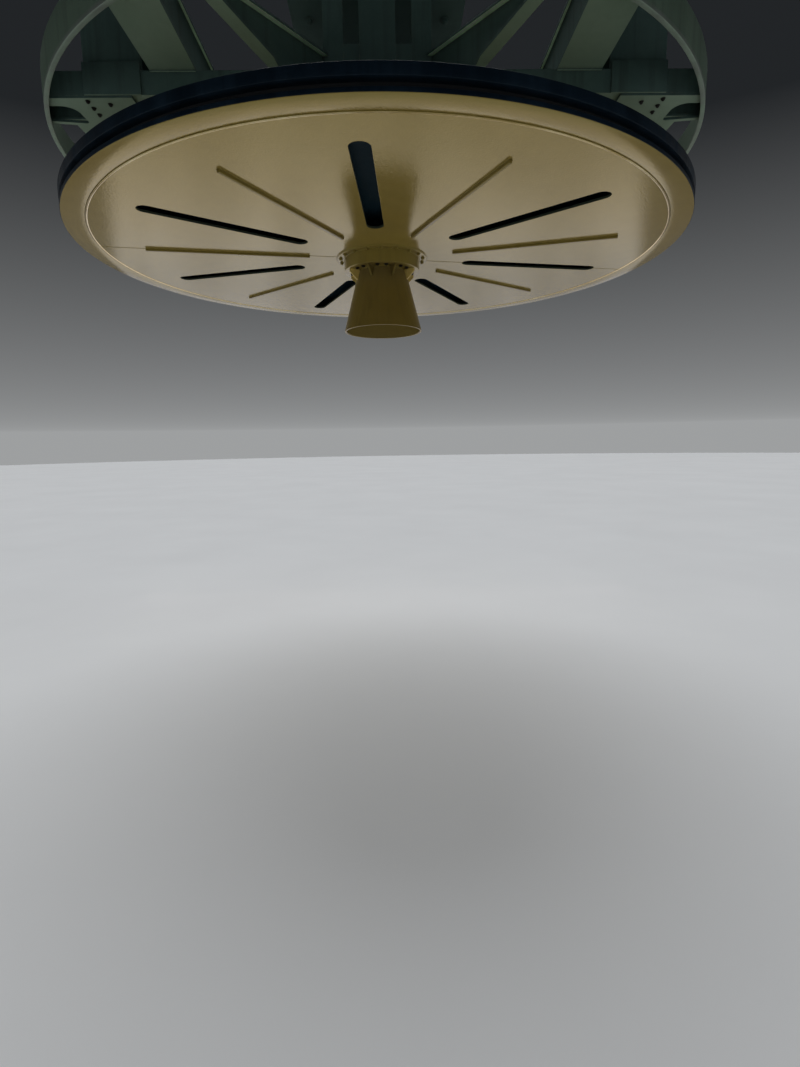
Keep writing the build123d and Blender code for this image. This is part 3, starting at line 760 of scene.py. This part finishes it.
def polar(r, angle, z):
    return (r * cos(angle), r * sin(angle), z)


def circle(r, z, count=240):
    return [polar(r, 2 * pi * k / count, z) for k in range(count)], True


def beside(angle, aside, *places):
    """A path through places of radius and height, in the upright plane at an angle, moved aside."""
    out, across = Vector(polar(1, angle, 0)), Vector(polar(1, angle + pi / 2, 0))
    return [tuple(out * r + across * aside + Vector((0, 0, z))) for r, z in places], False


def bolt_ring(ring, z, facing, first=0.5):
    """Rows of bolts round the axis. The first one stands this share of a step away from +X."""
    r, count, size = ring
    return [(polar(r, 2 * pi * (k + first) / count, z), facing, size) for k in range(count)]


def bolts(name, rows, material, body, nut, stands):
    """Puts bolts on rows of place, facing and size."""
    places, facing, across = zip(*rows)
    points = make_mesh(name, places, facing=facing, across=across)
    grow(points, bolted_joint, material, {"Nut Height": nut, "Thread Stands": stands}, body, 20)


def welds(name, paths, material, body, bead, step=0.012, flat=1.0, uneven=0.25, ripple=0.12):
    """Lays weld beads along paths. Each path is its points and whether it closes."""
    points, edges = [], []
    for path, closed in paths:
        first = len(points)
        points += path
        edges += [(k, k + 1) for k in range(first, len(points) - 1)]
        if closed:
            edges.append((len(points) - 1, first))
    seams = make_mesh(name, points, edges, bead=[bead] * len(points))
    grow(seams, weld_bead, material, {"Step": step, "Flatness": flat, "Unevenness": uneven, "Ripple": ripple},
         body, 60)


def plates(name, boxes, material, body):
    """Makes flat plates with rounded edges from rows of lowest corner, highest corner and turn round Z."""
    mesh, shape = bpy.data.meshes.new(name), bmesh.new()
    for low, high, angle in boxes:
        turned = Matrix.Rotation(angle, 3, "Z")
        for corner in bmesh.ops.create_cube(shape, size=1.0)["verts"]:
            corner.co = turned @ Vector([low[k] + (high[k] - low[k]) * (corner.co[k] + 0.5) for k in range(3)])
    bmesh.ops.bevel(shape, geom=shape.edges[:], offset=PLATE_EDGE, segments=2, profile=0.5, affect="EDGES")
    shape.to_mesh(mesh)
    shape.free()
    mesh.materials.append(material)
    return finish_piece(add_object(name, mesh), body, 30)


def post_outline(x, y, width, depth):
    """Path round the foot of an upright wide-flange post on the deck, round its flanges and its web."""
    half, web, flange, deep, z = width / 2, 0.005, 0.016, depth / 2, DECK + WELD_ASIDE
    corner = [(half, -deep), (half, flange - deep), (web, flange - deep), (web, deep - flange),
              (half, deep - flange), (half, deep)]
    return [(x + a, y + b, z) for a, b in corner] + [(x - a, y + b, z) for a, b in reversed(corner)], True


# ---- Pieces

class RETURNWHEEL_OT_discs(Operator):
    """Paint the discs and webs, and lay the welds under the lower disc"""
    bl_idname = "return_wheel.discs"
    bl_label = "Discs"

    def execute(self, context):
        finish = wheel_finish()
        enamel = enamel_material()
        # The lower disc's slot walls are painted dark, as painted shade in the slots.
        dress(enamel_material("disc_enamel", shaded_cuts=True), "lower_disc")
        # The cap's enamel is a darker copy of the enamel, as painted shade.
        dress(enamel_material("cap_enamel", 0.48, 0.8, 0.6, 0.1, 0.0), "cone_cap")
        # The rim's core gets the dark colour of painted shade between the discs.
        dress(dark_material("cavity_shade_paint", finish.inside, [c * 0.7 for c in finish.inside], 0.6), "rim_core")
        dress(top_material(), "upper_disc")
        web_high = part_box("radial_webs")[1].z
        web_rows, paths = [], []
        for k in range(SPOKES):
            angle = FIRST_WEB + SPOKE_STEP * k
            for r, z, end_r, end_z in ((WEB_EDGE[0], DISC_LOW - WEB_STANDS, WEB_EDGE[1], DISC_LOW + WEB_INTO_DISC),
                                       (DOUBLER_R, DISC_HIGH, DISC_R - SEAT_GAP, web_high)):
                web_rows.append(((r, -WEB_HALF, z), (end_r, WEB_HALF, end_z), angle))
            for way in (-1, 1):
                paths.append(beside(angle, way * (WEB_HALF + WELD_ASIDE), *((r, DISC_LOW) for r in WEB_EDGE)))
        # The webs' enamel is a darker copy of the enamel, as painted shade.
        webs = plates("web_plates", web_rows, enamel_material("web_enamel", 0.72, 0.5, 0.3, 0.1, 0.6), WHEEL)
        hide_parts("radial_webs")
        welds("web_welds", paths, enamel, WHEEL, finish.bead * 0.35)
        # The lip bead carries the painted highlight line.
        welds("lip_weld", [circle(DISC_R - LIP_INSET, DISC_LOW)], lip_highlight_material(), WHEEL, LIP_BEAD,
              step=0.016, flat=0.7, uneven=0.2, ripple=0.05)
        seam_z, seam_end = DISC_LOW - SEAM_BELOW, DISC_R - SEAM_INSET
        through_slot, through_web = FIRST_SLOT + 2 * SPOKE_STEP, FIRST_SLOT - 1.5 * SPOKE_STEP
        seams = [([polar(r, angle, seam_z) for r in ends], False) for angle, *ends in (
            (through_slot, DOUBLER_R, SLOT_ENDS[0]), (through_slot, SLOT_ENDS[1], seam_end),
            (through_web, DOUBLER_R, seam_end))]
        welds("plate_seams", seams, enamel, WHEEL, SEAM_BEAD, flat=0.22, uneven=0.2, ripple=0.0)
        return {"FINISHED"}


class RETURNWHEEL_OT_rim(Operator):
    """Turn the rim's flanges and its rubber rope groove"""
    bl_idname = "return_wheel.rim"
    bl_label = "Rim"

    def execute(self, context):
        rim = wheel_finish().rim
        black = dark_material("rim_paint", rim, [c * 1.4 + 0.002 for c in rim], 0.40, wear_share=0.05,
                              dust_amount=0.05, edge=0.001)
        low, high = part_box("rim_lower_flange")
        edge_r = RIM_R - BAND_THICK
        turn("lower_flange_turned", block(DISC_R + SEAT_GAP, edge_r, low.z, high.z, 0.4, 0.4, 0.1, 0.4),
             enamel_material("flange_enamel", 0.97, 0.5, 0.11), WHEEL, "rim_lower_flange")
        turn("flange_band", [(edge_r, low.z + BAND_THICK - BAND_SLOPE, 0.1), (RIM_R, low.z + BAND_THICK, 0.3),
                             (RIM_R, high.z, 0.7), (edge_r, high.z, 0.1)], black, WHEEL)
        low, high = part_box("rim_upper_flange")
        turn("upper_flange_turned", block(DISC_R, RIM_R, low.z, high.z, 0.4, 1.3, 0.6, 0.4),
             black, WHEEL, "rim_upper_flange")
        low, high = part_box("rope_lining")
        seat_r, middle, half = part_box("rim_core")[1].x + SEAT_GAP, (low.z + high.z) / 2, (high.z - low.z) / 2
        bend = (half ** 2 + SEAT_DEPTH ** 2) / (2 * SEAT_DEPTH)
        seat, steps = [], 10
        for k in range(steps + 1):
            z = middle - half + 2 * half * k / steps
            seat.append((GROOVE_R - SEAT_DEPTH + bend - sqrt(bend ** 2 - (z - middle) ** 2), z, 0.0))
        turn("lining_turned", [(seat_r, low.z, 0.2), *seat, (seat_r, high.z, 0.2)],
             lining_material(), WHEEL, "rope_lining")
        return {"FINISHED"}


class RETURNWHEEL_OT_hub(Operator):
    """Turn the hub, its doubler plates, its cover and the cone, with their bolts and welds"""
    bl_idname = "return_wheel.hub"
    bl_label = "Hub"

    def execute(self, context):
        # The hub's enamel is a darker copy of the wheel's enamel, as painted shade.
        enamel = enamel_material("hub_enamel", 0.8, 0.25, 0.19, 0.12)
        # Gusset enamel: a darker copy of the enamel as painted shade, painted brighter behind y -0.10 as a painted
        # reflection of the sheen.
        shaded_gusset_enamel = enamel_material("gusset_enamel", 0.55, 0.2, 0.4, 0.0, 0.3, pale=2.3)
        dress(shaded_gusset_enamel, "cone_gussets")
        low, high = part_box("hub_barrel")
        bore, cut = SHAFT_R + SHAFT_GAP, 0.012
        turn("hub_turned", [(bore, low.z, 0.4), (HUB_R, low.z, 0.9), (HUB_R, high.z - cut, 1.5),
                            (HUB_R - cut, high.z, 1.5), (bore, high.z, 0.4)],
             enamel, WHEEL, "hub_barrel")
        plate_low, plate_high = (corner.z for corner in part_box("hub_doublers"))
        inner = HUB_R + SEAT_GAP
        turn("doubler_low", block(inner, DOUBLER_R, plate_low, plate_low + DOUBLER_THICK, 0.3, 1, 0.3, 0.3),
             enamel, WHEEL, "hub_doublers")
        turn("doubler_high", block(inner, DOUBLER_R, plate_high - DOUBLER_THICK, plate_high, 0.3, 0.3, 1, 0.3),
             enamel, WHEEL)
        # The cone's enamel below is a darker copy too, as painted shade.
        low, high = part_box("cone_shell")
        turn("cone_turned", [(NECK_R, high.z, 0.2), (CONE_R, low.z, 1), (CONE_R - CONE_WALL, low.z, 1),
                             (NECK_R - CONE_WALL, high.z, 0.2)],
             enamel_material("cone_enamel", 0.8, 0.2, 0.36, 0.08, 0.3), WHEEL, "cone_shell",
             segments=240)
        low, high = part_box("bearing_cover")
        cut = 0.008
        turn("cover_turned", [(bore, low.z, 0.2), (high.x, low.z, 0.4), (high.x, high.z - cut, 1.5),
                              (high.x - cut, high.z, 1.5), (bore, high.z, 0.4)],
             steel_material("cover_steel", (0.30, 0.29, 0.27), (0.12, 0.10, 0.07)), WHEEL,
             "bearing_cover", segments=200)
        rings = ((HUB_R, DISC_LOW - DOUBLER_THICK), (DOUBLER_R, DISC_LOW), (NECK_R, HUB_LOW), (HUB_R, plate_high))
        welds("hub_welds", [circle(r + WELD_ASIDE, z) for r, z in rings], enamel, WHEEL, 0.004)
        dark = steel_material("bolt_steel", (0.030, 0.029, 0.026), (0.016, 0.015, 0.013), 0.5, bare=0.2)
        oily = steel_material("hub_bolt_steel", (0.034, 0.026, 0.012), (0.022, 0.016, 0.008), 0.5, bare=0.1)
        rows, paths = [], []
        foot_r = NECK_R + (CONE_R - NECK_R) * GUSSET_HIGH / (HUB_LOW - CONE_LOW)
        for k in range(GUSSETS):
            for way in (-1, 1):
                angle = -pi / 2 + (k + way * HUB_BOLT_TURN / pi * 2) * 2 * pi / GUSSETS
                rows.append((polar(HUB_BOLT_R, angle, HUB_LOW), DOWN, HUB_BOLT_SIZE))
                paths.append(beside((k + 0.5) * 2 * pi / GUSSETS - pi / 2, way * GUSSET_HALF,
                                    (foot_r, HUB_LOW - GUSSET_HIGH), (NECK_R + 0.002, HUB_LOW),
                                    (NECK_R + GUSSET_REACH, HUB_LOW)))
        bolts("hub_bolts", rows, oily, WHEEL, 0.7, 0.1)
        rows = bolt_ring(DOUBLER_RING, plate_low, DOWN) + bolt_ring(DOUBLER_RING, plate_high, UP)
        bolts("doubler_bolts", rows, enamel, WHEEL, 0.8, 0.25)
        bolts("cover_bolts", bolt_ring(COVER_RING, high.z, UP, 0), dark, WHEEL, 0.7, 0.0)
        welds("gusset_welds", paths, shaded_gusset_enamel, WHEEL, 0.0035, step=0.007)
        return {"FINISHED"}


class RETURNWHEEL_OT_steelwork(Operator):
    """Paint the frame's beams, girders, posts and arms"""
    bl_idname = "return_wheel.steelwork"
    bl_label = "Steelwork"

    def execute(self, context):
        names = [name for name in frame["record"]["behaviour"]["bodies"][FRAME]
                 if name not in ("shaft", "shaft_collar") and not name.startswith("rail_")]
        dress(frame_material(), *names)
        steel = steel_material("shaft_steel", (0.22, 0.21, 0.19), (0.08, 0.065, 0.045))
        dress(steel, "shaft")
        low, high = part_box("shaft_collar")
        cut = 0.013
        turn("collar_turned", [(SHAFT_R, low.z, 0.3), (high.x - cut, low.z, 1.5), (high.x, low.z + cut, 1.5),
                               (high.x, high.z, 0.4), (SHAFT_R, high.z, 0.2)],
             steel, FRAME, "shaft_collar", segments=200)
        return {"FINISHED"}


class RETURNWHEEL_OT_rail(Operator):
    """Sweep the curved carriage rail and bolt its joints"""
    bl_idname = "return_wheel.rail"
    bl_label = "Carriage rail"

    def execute(self, context):
        # The rail's last values are a faint tint of painted shade.
        paint = frame_material("rail_green", 1.08, [RAIL_LOW + rise for rise in WORN_BAND], (0.97, 1.0, 1.0))
        dress(paint, "rail_tail_left", "rail_tail_right", "rail_splices")
        quarter, gap = pi / 4, SEAT_GAP / RAIL_R
        web_r, flange_r, flange_high = RAIL_R - RAIL_WEB, RAIL_R - RAIL_FLANGE, RAIL_LOW + RAIL_FLANGE_THICK
        outline = [(flange_r, RAIL_LOW, 0.8), (RAIL_R, RAIL_LOW, 0.8), (RAIL_R, DECK, 0.6), (web_r, DECK, 0.6),
                   (web_r, flange_high, 1.6), (flange_r, flange_high, 0.8)]
        for k in range(4):
            turn(f"rail_curve_{k + 1}", outline, paint, FRAME, f"rail_section_{k + 1}",
                 pi + quarter * k + gap / 2, quarter - gap, 72, 0.003)
        middle, plate_r = (RAIL_LOW + DECK) / 2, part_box("rail_splices")[1].x
        rows = []
        for k in (0, 2, 4):
            for aside in (-SPLICE_BOLT_ASIDE, SPLICE_BOLT_ASIDE):
                angle = pi + quarter * k + aside / RAIL_R
                for rise in (-SPLICE_BOLT_RISE, SPLICE_BOLT_RISE):
                    rows.append((polar(plate_r, angle, middle + rise), polar(1, angle, 0), SPLICE_BOLT_SIZE))
        bolts("splice_bolts", rows, bpy.data.materials["bolt_steel"], FRAME, 0.7, 0.2)
        return {"FINISHED"}


class RETURNWHEEL_OT_lap_plates(Operator):
    """Lay plates over the girders where the corner posts come down on them"""
    bl_idname = "return_wheel.lap_plates"
    bl_label = "Lap plates"

    def execute(self, context):
        outer_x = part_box("corner_posts")[1].x
        boxes = []
        for way, girder in ((-1, "front_girder"), (1, "rear_girder")):
            low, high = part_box(girder)
            face = low.y if way < 0 else high.y
            near, far = sorted((face, face + way * LAP_THICK))
            for left, right in ((-outer_x, -LAP_INNER_X), (LAP_INNER_X, outer_x)):
                boxes.append(((left, near, low.z - LAP_BELOW), (right, far, high.z + LAP_ABOVE), 0.0))
        plates("lap_plates", boxes, bpy.data.materials["frame_green"], FRAME)
        return {"FINISHED"}


class RETURNWHEEL_OT_frame_bolts(Operator):
    """Bolt the frame's joints and lay its welds"""
    bl_idname = "return_wheel.frame_bolts"
    bl_label = "Frame bolts and welds"

    def execute(self, context):
        dark, green = bpy.data.materials["bolt_steel"], bpy.data.materials["frame_green"]
        plate_low, head_low, collar_low = (
            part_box(name)[0].z for name in ("end_plate_right", "head_plate", "shaft_collar"))
        rows = bolt_ring(HEAD_RING, head_low, DOWN)
        for x_way, y_way in CORNERS:
            for aside in (-PAD_BOLT_ASIDE, PAD_BOLT_ASIDE):
                rows.append(((x_way * POST_X, y_way * POST_Y + aside, head_low), DOWN, PAD_BOLT_SIZE))
        bolts("head_bolts", rows, green, FRAME, 0.8, 0.3)
        rows = [((way * x, y, plate_low), DOWN, END_BOLT_SIZE) for way in (-1, 1) for x, y in END_PLATE_BOLTS]
        rows += bolt_ring(COLLAR_RING, collar_low, DOWN, 0)
        bolts("frame_bolts", rows, dark, FRAME, 0.8, 0.3)
        feet = [post_outline(x_way * POST_X, y_way * POST_Y, POST_WIDE, POST_DEEP) for x_way, y_way in CORNERS]
        feet += [post_outline(x, way * CARRIER_POST_Y, width, CARRIER_POST_DEEP)
                 for x, width in CARRIER_POSTS for way in (-1, 1)]
        bead = frame_finish().bead
        welds("post_welds", feet, green, FRAME, bead, step=0.01)
        beam_low, beam_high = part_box("long_beam_right")
        seams = []
        for name in ("front_girder", "rear_girder"):
            low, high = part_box(name)
            for y in (low.y + WELD_ASIDE, high.y - WELD_ASIDE):
                for way in (-1, 1):
                    seams.append(([(way * x, y, DECK - WELD_ASIDE) for x in (beam_low.x, beam_high.x)], False))
        welds("beam_welds", seams, green, FRAME, bead)
        return {"FINISHED"}


class RETURNWHEEL_OT_stage(Operator):
    """Lay the floor and set the lights and the camera"""
    bl_idname = "return_wheel.stage"
    bl_label = "Stage"

    def execute(self, context):
        scene, stage = context.scene, context.scene.return_wheel_stage
        z = stage.floor_height
        edge = circle(FLOOR_R, z, 96)[0]
        floor = make_mesh("floor", edge, faces=[list(range(len(edge)))])
        material, tree = start_material("floor_paper")
        mottle = ramp(tree, noise(tree, object_place(tree), 0.6, 3.0), 0.3, 0.7)
        tone = blend(tree, mottle, colour((0.56, 0.565, 0.57)), colour((0.60, 0.605, 0.61)))
        end_material(material, tone, 0.9, put(tree, "ShaderNodeNewGeometry").outputs["Normal"])
        seen = put(tree, "ShaderNodeLightPath").outputs["Is Camera Ray"]
        glow = math(tree, "MULTIPLY_ADD", seen, 0.13, stage.floor_glow)
        for key, value in (("Emission Color", (0.96, 0.98, 1.0, 1.0)), ("Emission Strength", glow)):
            feed(tree, shader_of(tree).inputs[key], value)
        floor.data.materials.append(material)

        # The camera sees a gradient by height alone. For all other rays the -Y side is dim as well.
        world = bpy.data.worlds.new("studio_air")
        scene.world = world
        world.use_nodes = True
        air = world.node_tree
        shade = air.nodes["Background"]
        way = axes(air, put(air, "ShaderNodeTexCoord").outputs["Generated"])
        pale, dim = colour((0.34, 0.348, 0.352)), colour((0.016, 0.018, 0.020))
        behind = ramp(air, way["Y"], 0.70, 0.10)
        share = math(air, "MAXIMUM", math(air, "POWER", ramp(air, way["Z"], 0.02, 0.55), 0.6), behind)
        seen_share = math(air, "POWER", ramp(air, way["Z"], 0.02, 0.42), 0.5)
        seen = put(air, "ShaderNodeLightPath").outputs["Is Camera Ray"]
        unseen_share = times(air, share, math(air, "SUBTRACT", 1.0, seen))
        share = math(air, "MULTIPLY_ADD", seen, seen_share, unseen_share)
        feed(air, shade.inputs["Color"], blend(air, share, pale, dim))
        shade.inputs["Strength"].default_value = 1.0

        data = bpy.data.lights.new("sky_light", "SUN")
        data.energy, data.angle, data.color = stage.key_power, radians(50), (0.96, 0.98, 1.0)
        lamp = add_object("sky_light", data)
        light_way = Vector((0.05, -0.45, -1.0))
        lamp.rotation_euler = light_way.to_track_quat("-Z", "Y").to_euler()

        low, high = z + 0.02, DISC_LOW - 0.05
        corners = [(x * SHEET_HALF, SHEET_Y, height) for x, height in ((-1, low), (1, low), (1, high), (-1, high))]
        sheet = make_mesh("sheen_sheet", corners, faces=[(0, 1, 2, 3)])
        sheet.visible_camera = sheet.visible_diffuse = sheet.visible_shadow = False
        sheet.data.materials.append(sheen_material(stage.sheen))

        pitch, roll = stage.camera_pitch, stage.camera_roll
        ahead, over = Vector((0, cos(pitch), -sin(pitch))), Vector((0, sin(pitch), cos(pitch)))
        right = Vector((1, 0, 0))
        x_way, y_way = right * cos(roll) + over * sin(roll), over * cos(roll) - right * sin(roll)
        turned = Matrix.Rotation(stage.camera_turn, 3, "Z") @ Matrix((x_way, y_way, -ahead)).transposed()
        data = bpy.data.cameras.new("photo_camera")
        data.lens, data.sensor_width, data.clip_end = stage.lens, 36.0, 200.0
        scene.camera = add_object("photo_camera", data)
        scene.camera.matrix_world = Matrix.Translation(stage.camera_place) @ turned.to_4x4()
        scene.view_settings.view_transform = "Standard"
        return {"FINISHED"}


class RETURNWHEEL_PT_pieces(Panel):
    """Pieces of the return wheel and its stage"""
    bl_label = "Return Wheel"
    bl_space_type = "VIEW_3D"
    bl_region_type = "UI"
    bl_category = "Return Wheel"

    def draw(self, context):
        layout = self.layout
        for piece in PIECES:
            layout.operator(piece.bl_idname, text=piece.bl_label)
        for settings in (context.scene.return_wheel_finish, context.scene.hanging_frame_finish,
                         context.scene.return_wheel_stage):
            box = layout.box()
            for name in settings.__annotations__:
                box.prop(settings, name)


PIECES = (RETURNWHEEL_OT_discs, RETURNWHEEL_OT_rim, RETURNWHEEL_OT_hub, RETURNWHEEL_OT_steelwork,
          RETURNWHEEL_OT_rail, RETURNWHEEL_OT_lap_plates, RETURNWHEEL_OT_frame_bolts, RETURNWHEEL_OT_stage)
CLASSES = (WheelFinish, FrameFinish, StageSettings, *PIECES, RETURNWHEEL_PT_pieces)


def register():
    for kind in CLASSES:
        bpy.utils.register_class(kind)
    bpy.types.Scene.return_wheel_finish = PointerProperty(type=WheelFinish)
    bpy.types.Scene.hanging_frame_finish = PointerProperty(type=FrameFinish)
    bpy.types.Scene.return_wheel_stage = PointerProperty(type=StageSettings)


def unregister():
    del bpy.types.Scene.return_wheel_stage
    del bpy.types.Scene.hanging_frame_finish
    del bpy.types.Scene.return_wheel_finish
    for kind in reversed(CLASSES):
        bpy.utils.unregister_class(kind)


def main():
    register()
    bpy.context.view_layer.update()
    bpy.ops.return_wheel.discs()
    bpy.ops.return_wheel.rim()
    bpy.ops.return_wheel.hub()
    bpy.ops.return_wheel.steelwork()
    bpy.ops.return_wheel.rail()
    bpy.ops.return_wheel.lap_plates()
    bpy.ops.return_wheel.frame_bolts()
    bpy.ops.return_wheel.stage()


if __name__ == "__main__":
    main()
